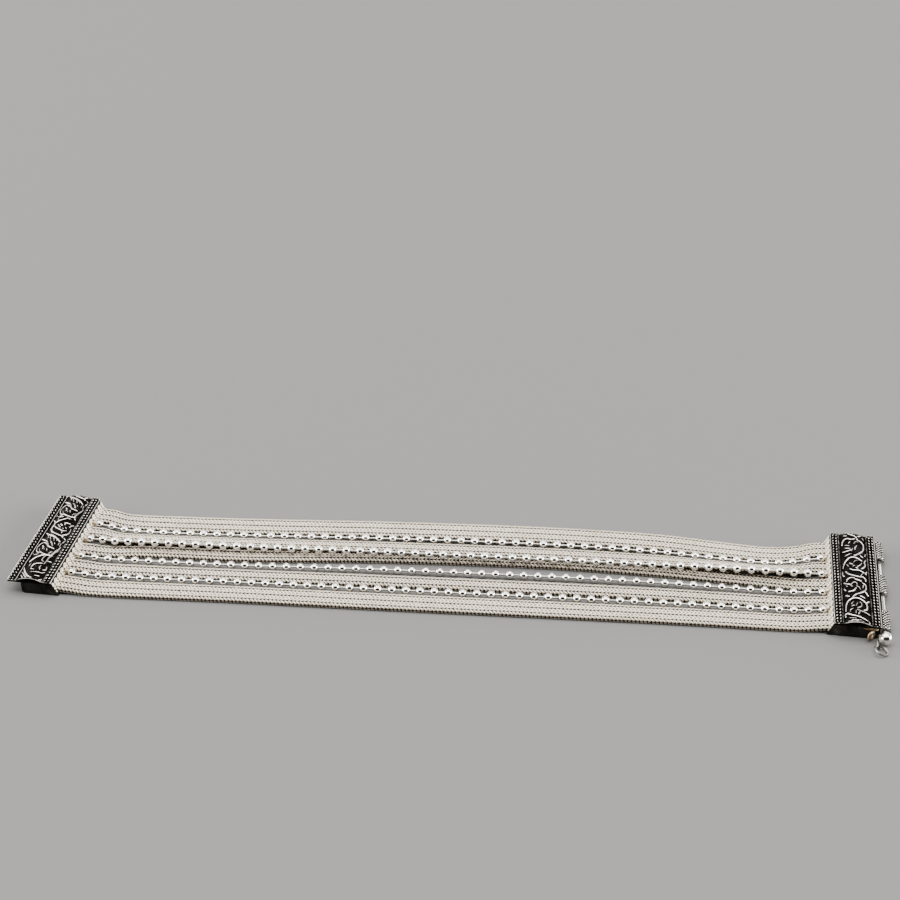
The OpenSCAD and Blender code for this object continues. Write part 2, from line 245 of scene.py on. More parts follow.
def lay_at(s, column):
    """Smooth interpolation in one column of the lay table, level at both ends."""
    s = np.asarray(s, float)
    station, value = LAY[:, 0], LAY[:, column]
    slope = np.zeros(len(LAY))
    slope[1:-1] = (value[2:] - value[:-2]) / (station[2:] - station[:-2])
    i = np.clip(np.searchsorted(station, s, side="right") - 1, 0, len(LAY) - 2)
    step = station[i + 1] - station[i]
    t = (s - station[i]) / step
    return (
        (2 * t**3 - 3 * t**2 + 1) * value[i]
        + (t**3 - 2 * t**2 + t) * step * slope[i]
        + (3 * t**2 - 2 * t**3) * value[i + 1]
        + (t**3 - t**2) * step * slope[i + 1]
    )


def row_rise(s):
    """Height of rows 3 and 4."""
    return BALL_D / 2 + REST_GAP + ROW_CLIMB * lay_at(s, CLIMB)


def strap_rise(s):
    """Height of straps 3 and 5."""
    return STRAP_T / 2 + REST_GAP + STRAP_CLIMB * lay_at(s, CLIMB)


def row_yz(n, s):
    """Place across the band and height of row N."""
    if n == 1:
        return lay_at(s, ROW1_Y), lay_at(s, ROW1_Z)
    if n == 2:
        return lay_at(s, ROW2_Y), lay_at(s, ROW2_Z)
    return lay_at(s, ROW3_Y if n == 3 else ROW4_Y), row_rise(s)


def strap_pose(n, s):
    """Place across the band, height and tilt of strap N's middle at station s."""
    drop = row_rise(s) - strap_rise(s)
    if n == 1:
        y, z = row_yz(1, s)
        tilt = np.radians(lay_at(s, ROLL))
        gap = FAR_STRAP_GAP * (1 - lay_at(s, CLIMB))
        return y + OUTER_REACH * np.cos(tilt) + gap, z - drop + OUTER_REACH * np.sin(tilt), tilt
    if n == 3:
        return lay_at(s, C_Y), strap_rise(s), np.zeros_like(s)
    if n == 5:
        return lay_at(s, ROW4_Y) - OUTER_REACH, strap_rise(s), np.zeros_like(s)
    (ay, az), (by, bz) = row_yz(n - 1, s), row_yz(n, s)
    tilt = np.arctan2(az - bz, ay - by)
    return (ay + by) / 2 + drop * np.sin(tilt), (az + bz) / 2 - drop * np.cos(tilt), tilt


def band_point(s, y, z):
    """Point of the band, whose stations lean with the caps."""
    return np.stack([s + math.tan(LEAN) * y, y, z], -1)


def on_strap(n, local):
    """Sends points (station, place across the strap, height over its middle) to their real places."""
    s, p, q = local[..., 0], local[..., 1], local[..., 2]
    y, z, tilt = strap_pose(n, np.clip(s, -HALF_BAND - 1, HALF_BAND + 1))
    c, d = np.cos(tilt), np.sin(tilt)
    return band_point(s, y + p * c - q * d, z + p * d + q * c)


# Materials


def new_material(name, metallic):
    m = bpy.data.materials.new(name)
    m.use_nodes = True
    shader = m.node_tree.nodes["Principled BSDF"]
    shader.inputs["Metallic"].default_value = metallic
    return m, m.node_tree, shader


def ramp(tree, source, stops):
    n = tree.nodes.new("ShaderNodeValToRGB")
    for i, (place, colour) in enumerate(stops):
        e = n.color_ramp.elements[i] if i < 2 else n.color_ramp.elements.new(place)
        e.position = place
        e.color = (*colour, 1)
    tree.links.new(source, n.inputs["Fac"])
    return n.outputs["Color"]


def noise(tree, scale, detail):
    """Noise in the object's own coordinates; SCALE is in cells per metre."""
    where = tree.nodes.new("ShaderNodeTexCoord")
    n = tree.nodes.new("ShaderNodeTexNoise")
    for key, value in (("Scale", scale), ("Detail", detail), ("Roughness", 0.55)):
        n.inputs[key].default_value = value
    tree.links.new(where.outputs["Object"], n.inputs["Vector"])
    return n.outputs["Fac"]


def multiply(tree, factor, a, b):
    """Colour A darkened by colour B, as far as FACTOR says."""
    n = tree.nodes.new("ShaderNodeMix")
    n.data_type = "RGBA"
    n.blend_type = "MULTIPLY"
    n.inputs["Factor"].default_value = factor
    tree.links.new(a, n.inputs["A"])
    tree.links.new(b, n.inputs["B"])
    return n.outputs["Result"]


def maths(tree, operation, a, b, clamp=False):
    """One step of arithmetic with A, a socket, and B, a socket or a number."""
    n = tree.nodes.new("ShaderNodeMath")
    n.operation = operation
    n.use_clamp = clamp
    tree.links.new(a, n.inputs[0])
    if isinstance(b, float):
        n.inputs[1].default_value = b
    else:
        tree.links.new(b, n.inputs[1])
    return n.outputs[0]


def span(tree, source, low, high, to_low, to_high):
    """SOURCE moved from the span LOW to HIGH into the span TO_LOW to TO_HIGH, and held at its ends."""
    n = tree.nodes.new("ShaderNodeMapRange")
    tree.links.new(source, n.inputs["Value"])
    for key, value in (("From Min", low), ("From Max", high), ("To Min", to_low), ("To Max", to_high)):
        n.inputs[key].default_value = value
    return n.outputs["Result"]


def bump(tree, height, distance, strength):
    n = tree.nodes.new("ShaderNodeBump")
    n.inputs["Distance"].default_value = distance
    n.inputs["Strength"].default_value = strength
    tree.links.new(height, n.inputs["Height"])
    return n.outputs["Normal"]


def mark_of(tree):
    """The mark that the meshes carry at each point: 1 on worn places and 0 in oxidised hollows, and on the
    woven wire 0 is painted shade.
    """
    a = tree.nodes.new("ShaderNodeAttribute")
    a.attribute_name = "bright"
    return a.outputs["Fac"]


WHITE = (1, 1, 1)
DULL = (0.8, 0.8, 0.8)


def clouds(tree, scale, detail, *stops):
    """Colour that changes with noise, from stop to stop."""
    return ramp(tree, noise(tree, scale, detail), stops)


def colour_with(tree, shader, colour):
    tree.links.new(colour, shader.inputs["Base Color"])


def roughen(tree, shader, scale, detail, low, high):
    """Roughness that changes with noise between LOW and HIGH."""
    tree.links.new(span(tree, noise(tree, scale, detail), 0.3, 0.7, low, high), shader.inputs["Roughness"])


def grain(tree, shader, scale, detail, distance, strength):
    """Fine relief of the skin, DISTANCE high in metres."""
    tree.links.new(bump(tree, noise(tree, scale, detail), distance, strength), shader.inputs["Normal"])


def woven_silver():
    """Fine silver wire, matt and creamy, warmer in patches, with painted shade where the marks are low."""
    m, t, b = new_material("woven_silver", 0.35)
    patches = clouds(
        t, 90, 3, (0.35, (0.87, 0.785, 0.645)), (0.5, (0.93, 0.85, 0.72)), (0.66, (0.91, 0.80, 0.69))
    )
    fine = clouds(t, 1400, 2, (0.3, (0.82, 0.82, 0.82)), (0.7, WHITE))
    # Painted shade: low marks turn the grooves between the legs and their dipping ends dark brown
    groove_shade = ramp(t, mark_of(t), [(0.0, (0.15, 0.12, 0.09)), (0.85, WHITE)])
    colour_with(t, b, multiply(t, 1.0, multiply(t, 0.55, patches, fine), groove_shade))
    roughen(t, b, 600, 3, 0.36, 0.50)
    grain(t, b, 9000, 2, 0.00002, 0.5)
    return m


def painted_shade_core():
    """Inside of the mesh, painted near black as the painted shade seen between the stitches."""
    m, t, b = new_material("painted_shade_core", 0.6)
    colour_with(t, b, clouds(t, 2500, 3, (0.35, (0.014, 0.013, 0.012)), (0.7, (0.055, 0.051, 0.046))))
    b.inputs["Roughness"].default_value = 0.6
    return m


def polished_silver():
    """Mirror-bright silver with faint clouds and scratches."""
    m, t, b = new_material("polished_silver", 1.0)
    colour_with(t, b, clouds(t, 350, 4, (0.3, (0.88, 0.86, 0.82)), (0.7, (0.96, 0.95, 0.93))))
    roughen(t, b, 1600, 5, 0.13, 0.22)
    grain(t, b, 2600, 3, 0.000012, 0.25)
    return m


def drawn_silver():
    """Duller silver of the bars between the balls, with grey clouds."""
    m, t, b = new_material("drawn_silver", 1.0)
    colour_with(t, b, clouds(t, 900, 4, (0.3, (0.60, 0.575, 0.53)), (0.7, (0.84, 0.82, 0.775))))
    roughen(t, b, 1600, 5, 0.24, 0.38)
    grain(t, b, 2600, 3, 0.000015, 0.3)
    return m


def oxidised_silver():
    """Silver that is black in the hollows and worn bright on the raised lines, by the mesh's own marks."""
    m, t, b = new_material("oxidised_silver", 1.0)
    wear_and_shade = span(t, noise(t, 900, 4), 0.3, 0.7, -0.16, 0.16)
    level = maths(t, "ADD", mark_of(t), wear_and_shade, clamp=True)
    colour_with(t, b, ramp(t, level, [
        (0.14, (0.006, 0.0055, 0.005)), (0.40, (0.06, 0.056, 0.05)),
        (0.62, (0.52, 0.50, 0.46)), (0.88, (0.93, 0.915, 0.87)),
    ]))
    t.links.new(span(t, level, 0.1, 0.9, 0.55, 0.2), b.inputs["Roughness"])
    grain(t, b, 5000, 3, 0.00003, 0.5)
    return m


def solder_silver():
    """Smooth silver of the stubs at the ends of the ball rows, brown from the heat."""
    m, t, b = new_material("solder_silver", 0.9)
    stain = clouds(t, 260, 4, (0.38, (0.74, 0.67, 0.56)), (0.62, (0.52, 0.43, 0.31)))
    colour_with(t, b, multiply(t, 0.5, stain, clouds(t, 1500, 4, (0.3, DULL), (0.7, WHITE))))
    roughen(t, b, 700, 4, 0.28, 0.45)
    grain(t, b, 1800, 4, 0.00004, 0.4)
    return m


def dark_sheet():
    """Oxidised sheet of the box walls, nearly black with grey-brown clouds."""
    m, t, b = new_material("dark_sheet", 0.9)
    colour_with(t, b, clouds(
        t, 420, 5, (0.3, (0.022, 0.020, 0.018)), (0.55, (0.06, 0.055, 0.048)), (0.75, (0.17, 0.155, 0.135))
    ))
    roughen(t, b, 900, 4, 0.32, 0.5)
    grain(t, b, 2200, 4, 0.00005, 0.5)
    return m


def tan_solder():
    """Brassy solder with a grainy skin."""
    m, t, b = new_material("tan_solder", 0.8)
    colour_with(t, b, clouds(t, 1100, 4, (0.35, (0.26, 0.19, 0.115)), (0.65, (0.50, 0.40, 0.28))))
    grain(t, b, 3500, 3, 0.00006, 0.6)
    b.inputs["Roughness"].default_value = 0.42
    return m


WIRE = woven_silver()
# Near-black core: painted shade between the stitches
SHADE_CORE = painted_shade_core()
POLISHED = polished_silver()
DRAWN = drawn_silver()
OXIDISED = oxidised_silver()
SOLDER = solder_silver()
SHEET = dark_sheet()
TAN = tan_solder()


# Woven straps: V stitches over a core painted near black as shade, their points along +X. Each V is two
# slanted legs in half columns of their own, and the holes, dark with the core's painted shade, lie in rows
# between the Vs, where the feet of the legs dip in.

# Distance between stitches, a leg's reach along the strap, its half width and its height
STITCH, LEG_REACH, LEG_R, LEG_H = 0.83, 1.3, 0.27, 0.18
HALF_COLUMNS = {1: 6, 2: 4, 3: 4, 4: 4, 5: 6}
# Scatter of the stitches along the strap and of their ends across it
ALONG_SCATTER, ACROSS_SCATTER = 0.02, 0.015
# How far a leg's end stays from the strap's edge, and how far it sinks in the zone beside the edge
EDGE_STAY, EDGE_ZONE, EDGE_SINK = 0.12, 0.4, 0.1
# Legs of the side walls: half width, height over the strap's middle, and how bright their crests are
# painted, darker than on the top face as painted shade of the walls
WALL_LEG, WALL_RISE, WALL_SHADE_FACTOR = 0.16, 0.41, 0.6
# The core, painted near black as shade: how far it lies inside the strap, its rings, its ends under the
# plates, and its corners
CORE_INSET, CORE_RINGS, CORE_TUCK, CORE_R = 0.13, 150, 0.7, 0.215


def strap_section(w, t, r):
    """Outline of a strap W wide and T thick, its corners rounded by R."""
    corners = ((1, -1, 0), (1, 1, 90), (-1, 1, 180), (-1, -1, 270))
    bends = [(cx, cy, math.radians(a + turn)) for cx, cy, turn in corners for a in (-90, -45, 0)]
    return np.array([
        (cx * (w / 2 - r) + r * math.cos(a), cy * (t / 2 - r) + r * math.sin(a)) for cx, cy, a in bends
    ])


def legs(soup, place, foot, tip, out, width, height, rings, sides, slot=1, wear_and_shade=1.0):
    """Half-round legs of wire from FOOT to TIP, both ends dipping. PLACE sends them where they go, and the
    last argument is how bright their crests are painted, below 1 where they lie in painted shade."""
    out = np.broadcast_to(np.asarray(out, float), foot.shape)
    way = unit(tip - foot)
    side = np.cross(way, out)
    t = np.linspace(0, 1, rings)
    swell = 1 - 0.5 * (1 - t) ** 6 - 0.3 * t**8
    sink = -height * (0.8 * (1 - t) ** 4 + 0.4 * t**4)
    a = np.radians(np.linspace(-20, 200, sides))
    centre = foot[:, None] + t[None, :, None] * (tip - foot)[:, None] + sink[None, :, None] * out[:, None]
    points = (
        centre[:, :, None]
        + (width * swell)[None, :, None, None] * np.cos(a)[None, None, :, None] * side[:, None, None, :]
        + (height * swell)[None, :, None, None] * np.sin(a)[None, None, :, None] * out[:, None, None, :]
    )
    # Painted shade: the marks darken the legs' flanks and their dipping ends, where shade falls between
    # them
    crest = np.clip((np.sin(a) - 0.3) / 0.5, 0, 1)
    shade = (1 - 0.7 * (1 - t) ** 3 - 0.3 * t**6)[:, None] * crest[None, :]
    block = rings * sides
    faces = (grid_faces(rings, sides)[None] + (np.arange(len(foot)) * block)[:, None, None]).reshape(-1, 4)
    marks = wear_and_shade * np.broadcast_to(shade, (len(foot), rings, sides)).reshape(-1)
    soup.add(place(points.reshape(-1, 3)), faces[:, ::-1], slot, marks)


def weave_face(soup, n, w, up, rings, sides):
    """One face of a strap: half columns from the near edge on, every other one slanting the other way."""
    count = HALF_COLUMNS[n]
    column_w = w / count
    for c in range(count):
        low = -w / 2 + column_w * c
        foot_p, tip_p = (low + column_w, low) if c % 2 == 0 else (low, low + column_w)
        tip_p += 0.04 * np.sign(tip_p - foot_p)
        s = np.arange(-HALF_BAND - 0.5, HALF_BAND + 0.9, STITCH)
        s = s + rng.normal(0, ALONG_SCATTER, len(s))
        ends = []
        for along, across in ((-LEG_REACH / 2, foot_p), (LEG_REACH / 2, tip_p)):
            p = across + rng.normal(0, ACROSS_SCATTER, len(s))
            edge = np.clip((np.abs(p) - (w / 2 - EDGE_ZONE)) / EDGE_ZONE, 0, 1)
            p = np.clip(p, EDGE_STAY - w / 2, w / 2 - EDGE_STAY)
            ends.append(np.stack([s + along, p, up * (STRAP_T / 2 - LEG_H + 0.01 - EDGE_SINK * edge)], -1))
        legs(soup, lambda q: on_strap(n, q), *ends, (0, 0, up), LEG_R, LEG_H, rings, sides)


def weave_wall(soup, n, w, sign, rings, sides):
    """Slanted stitches on a side wall, SIGN being -1 on the near wall and 1 on the far one."""
    s = np.arange(-HALF_BAND - 0.4, HALF_BAND + 0.4, STITCH) + 0.3
    s = s + rng.normal(0, ALONG_SCATTER, len(s))
    p = np.full_like(s, sign * (w / 2 - WALL_LEG))
    for edge in (-WALL_RISE, WALL_RISE):
        foot = np.stack([s - 0.38, p, np.full_like(s, 0.05 * edge)], -1)
        tip = np.stack([s + 0.34, p - sign * 0.05, np.full_like(s, edge)], -1)
        size = (WALL_LEG, WALL_LEG, rings, sides)
        # The wall legs are painted darker than the top face: painted shade of the side walls
        legs(soup, lambda q: on_strap(n, q), foot, tip, (0, sign, 0), *size, wear_and_shade=WALL_SHADE_FACTOR)


# The core under the stitches, painted near black as shade
def strap_core(soup, n, w):
    section = strap_section(w - 2 * CORE_INSET, STRAP_T - 2 * CORE_INSET, CORE_R)
    stations = np.linspace(-HALF_BAND - CORE_TUCK, HALF_BAND + CORE_TUCK, CORE_RINGS)
    local = np.zeros((len(stations), len(section), 3))
    local[..., 0] = stations[:, None]
    local[..., 1:] = section[None]
    soup.add(on_strap(n, local.reshape(-1, 3)), grid_faces(len(stations), len(section), True)[:, ::-1], 0)


def weave_strap(n):
    """One strap, its legs finest on the top face and coarse where they hardly show."""
    w = OUTER_W if n in (1, 5) else INNER_W
    soup = Soup()
    strap_core(soup, n, w)
    weave_face(soup, n, w, 1, rings=7, sides=6)
    weave_face(soup, n, w, -1, rings=4, sides=4)
    weave_wall(soup, n, w, -1, rings=5, sides=5)
    weave_wall(soup, n, w, 1, rings=4, sides=4)
    piece = soup.build(f"weave_{n}", [SHADE_CORE, WIRE])
    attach(piece, "bracelet")
    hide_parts(f"weave_strip_{n}")


# Ball rows: polished balls with short bars of wire between them

# How much thinner a bar is in its middle, and how far the rows reach under the plates
BAR_WAIST, WIRE_TUCK = 0.05, 0.4


def ball_row(n):
    soup = Soup()
    stations = (np.arange(BALL_COUNT) - (BALL_COUNT - 1) / 2) * BALL_PITCH
    ends = np.concatenate([[-HALF_BAND - WIRE_TUCK], stations, [HALF_BAND + WIRE_TUCK]])
    y, z = row_yz(n, ends)
    path = band_point(ends, y, z)
    r = WIRE_D / 2
    for a, b in zip(path[:-1], path[1:]):
        way = b - a
        bar = [a + 0.02 * way, a + 0.5 * way, a + 0.98 * way]
        tube(soup, bar, [r, r - BAR_WAIST, r], 12, slot=1, caps=False)
    for i in range(1, len(path) - 1):
        lathe(soup, path[i], path[i + 1] - path[i - 1], ball_profile(BALL_D / 2, 15), 24)
    piece = soup.build(f"balls_{n}", [POLISHED, DRAWN])
    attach(piece, "bracelet")
    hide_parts(f"bead_row_{n}", f"bead_wire_{n}")


# Ornament of the crowned bands, drawn in strokes: V along the cap from its near end and H across
# the band towards the clasp, in millimetres, with the widths at the stroke's start, middle and end.

# Along the left cap: length of the start, and of the motif that comes twice after it
START_L, REPEAT = 8.9, 15.3
LEFT_START = [
    # Rays out of the near corner
    ([(0.5, -0.4), (1.2, 0.6), (2.2, 1.5), (3.6, 2.3), (4.6, 2.75)], 0.4, 0.5, 0.4),
    ([(0.2, 0.4), (1.3, 1.4), (2.3, 2.1), (3.0, 2.7)], 0.3, 0.36, 0.26),
    ([(0.1, 1.3), (1.0, 1.9), (1.8, 2.5)], 0.26, 0.32, 0.22),
    ([(0.2, -1.9), (0.6, -2.4), (1.1, -2.6)], 0.5, 0.5, 0.3),
    # Leaves in the first curl
    ([(1.5, -0.9), (1.65, -1.8)], 0.3, 0.36, 0.3),
    ([(2.6, 0.5), (2.8, -0.8), (2.9, -1.9), (3.4, -2.4)], 0.3, 0.36, 0.34),
    ([(3.9, 0.9), (3.6, 0.1)], 0.28, 0.32, 0.26),
    ([(4.0, -1.1), (4.6, -0.85), (5.2, -0.95)], 0.3, 0.42, 0.3),
    ([(3.9, -1.8), (4.4, -2.3), (5.3, -2.2)], 0.28, 0.34, 0.28),
    ([(4.6, 1.0), (5.5, 0.7), (5.85, -0.1), (6.1, -1.0)], 0.34, 0.42, 0.36),
    ([(4.9, 1.75), (5.9, 1.5)], 0.24, 0.3, 0.22),
    # Arch that closes the first curl, with the line under it
    ([(6.7, 2.15), (7.5, 1.85), (8.3, 1.1), (8.9, 0.2), (9.35, -0.7), (9.45, -1.7)], 0.5, 0.56, 0.46),
    ([(6.7, -1.0), (7.2, -0.45), (8.2, -0.45), (9.0, -0.7)], 0.28, 0.38, 0.34),
    ([(6.0, -1.35), (7.5, -1.5), (8.9, -1.6), (10.4, -2.0), (11.6, -2.4)], 0.3, 0.42, 0.42),
    ([(7.2, -1.7), (7.3, -2.5)], 0.36, 0.38, 0.3),
]
LEFT_MOTIF = [
    # Small curl: its double left side, the arch over it and the hook down its middle
    ([(0.35, -0.9), (0.6, -0.1), (1.15, 0.85), (1.85, 1.45)], 0.44, 0.42, 0.3),
    ([(0.95, 1.15), (1.6, 1.95), (2.4, 2.35), (3.4, 2.6), (4.3, 2.4), (4.9, 2.0), (5.0, 1.35),
      (4.5, 0.75), (4.0, 0.25),
      (3.5, -0.15), (3.25, -0.8), (3.05, -1.4)], 0.34, 0.42, 0.44),
    ([(2.1, 1.5), (2.8, 1.85)], 0.24, 0.32, 0.24),
    ([(2.6, 1.0), (3.25, 1.05), (3.9, 1.5)], 0.3, 0.46, 0.26),
    ([(2.0, -0.2), (2.8, 0.1)], 0.26, 0.36, 0.26),
    ([(2.1, 0.5), (2.7, 0.55)], 0.24, 0.28, 0.2),
    ([(0.3, -0.9), (0.45, -1.9)], 0.5, 0.5, 0.4),
    ([(1.0, -0.95), (1.6, -1.2), (1.9, -1.6)], 0.24, 0.32, 0.24),
    ([(0.9, -1.65), (1.8, -1.9), (2.6, -2.1), (3.4, -2.4), (4.2, -2.5)], 0.36, 0.44, 0.34),
    # Leaves between the curl and the frond
    ([(4.0, -0.75), (4.8, -0.35), (5.6, 0.2)], 0.3, 0.4, 0.32),
    ([(6.8, 2.8), (6.35, 2.2), (5.95, 1.6), (5.5, 1.05), (4.8, 0.6), (4.15, 0.3)], 0.5, 0.4, 0.26),
    ([(4.8, -1.0), (5.2, -0.8)], 0.28, 0.32, 0.24),
    ([(4.7, -1.8), (5.5, -1.8)], 0.26, 0.32, 0.26),
    ([(4.4, -2.25), (5.6, -2.2)], 0.22, 0.3, 0.22),
    # Frond with its serrated leaves
    ([(6.0, -1.75), (6.6, -1.15), (7.2, -0.4), (7.7, 0.3), (8.1, 1.1), (8.5, 1.9),
      (9.0, 2.4)], 0.4, 0.5, 0.4),
    ([(7.0, 1.3), (7.7, 1.45), (8.2, 1.8)], 0.26, 0.34, 0.32),
    ([(6.3, 0.4), (7.1, 0.8), (7.8, 0.75)], 0.26, 0.34, 0.32),
    ([(6.1, -0.45), (6.9, -0.1), (7.4, 0.05)], 0.26, 0.32, 0.3),
    ([(6.0, -1.05), (6.7, -0.9), (7.2, -0.55)], 0.24, 0.3, 0.28),
    ([(6.0, -2.45), (6.9, -2.65)], 0.4, 0.44, 0.3),
    ([(7.2, -2.6), (7.6, -2.2)], 0.26, 0.3, 0.22),
    # Large curl
    ([(14.8, -1.0), (15.0, -0.5), (14.6, -0.05), (14.15, 0.65), (13.7, 1.3), (13.0, 1.75),
      (12.0, 1.8), (10.9, 1.9),
      (10.0, 1.65), (9.3, 1.15), (8.75, 0.35), (8.25, -0.7), (8.1, -1.45)], 0.4, 0.52, 0.42),
    ([(7.75, -1.75), (8.4, -1.55), (9.0, -2.1), (9.7, -2.45), (10.6, -2.5),
      (11.4, -2.4)], 0.44, 0.46, 0.26),
    ([(10.3, -1.75), (10.05, -1.05), (10.3, -0.35), (10.7, 0.35), (11.1, 0.95),
      (11.8, 1.55)], 0.34, 0.44, 0.28),
    ([(9.25, -0.95), (10.0, -1.05)], 0.26, 0.34, 0.3),
    ([(11.2, -0.05), (11.7, 0.45), (12.3, 0.85)], 0.26, 0.34, 0.24),
    ([(12.0, -0.2), (12.5, 0.25)], 0.4, 0.46, 0.36),
    ([(12.4, -0.75), (13.0, -0.6), (13.05, -1.7)], 0.34, 0.5, 0.4),
    ([(11.9, -1.95), (12.5, -2.1), (12.9, -2.55)], 0.34, 0.42, 0.34),
    ([(10.7, -0.95), (11.2, -0.55)], 0.22, 0.28, 0.2),
    ([(11.1, -1.5), (11.5, -1.1)], 0.2, 0.26, 0.2),
    # Sprouts over and behind the large curl
    ([(13.4, 1.95), (14.1, 2.5), (14.7, 2.8)], 0.4, 0.42, 0.3),
    ([(14.1, 1.4), (14.9, 1.8)], 0.24, 0.32, 0.24),
    ([(15.4, 1.55), (15.5, 0.75)], 0.44, 0.46, 0.34),
    ([(15.0, -2.2), (15.35, -1.85)], 0.38, 0.42, 0.3),
    ([(0.6, 2.55), (1.5, 2.75)], 0.26, 0.34, 0.26),
    ([(0.35, 2.0), (0.5, 1.3)], 0.4, 0.42, 0.3),
]
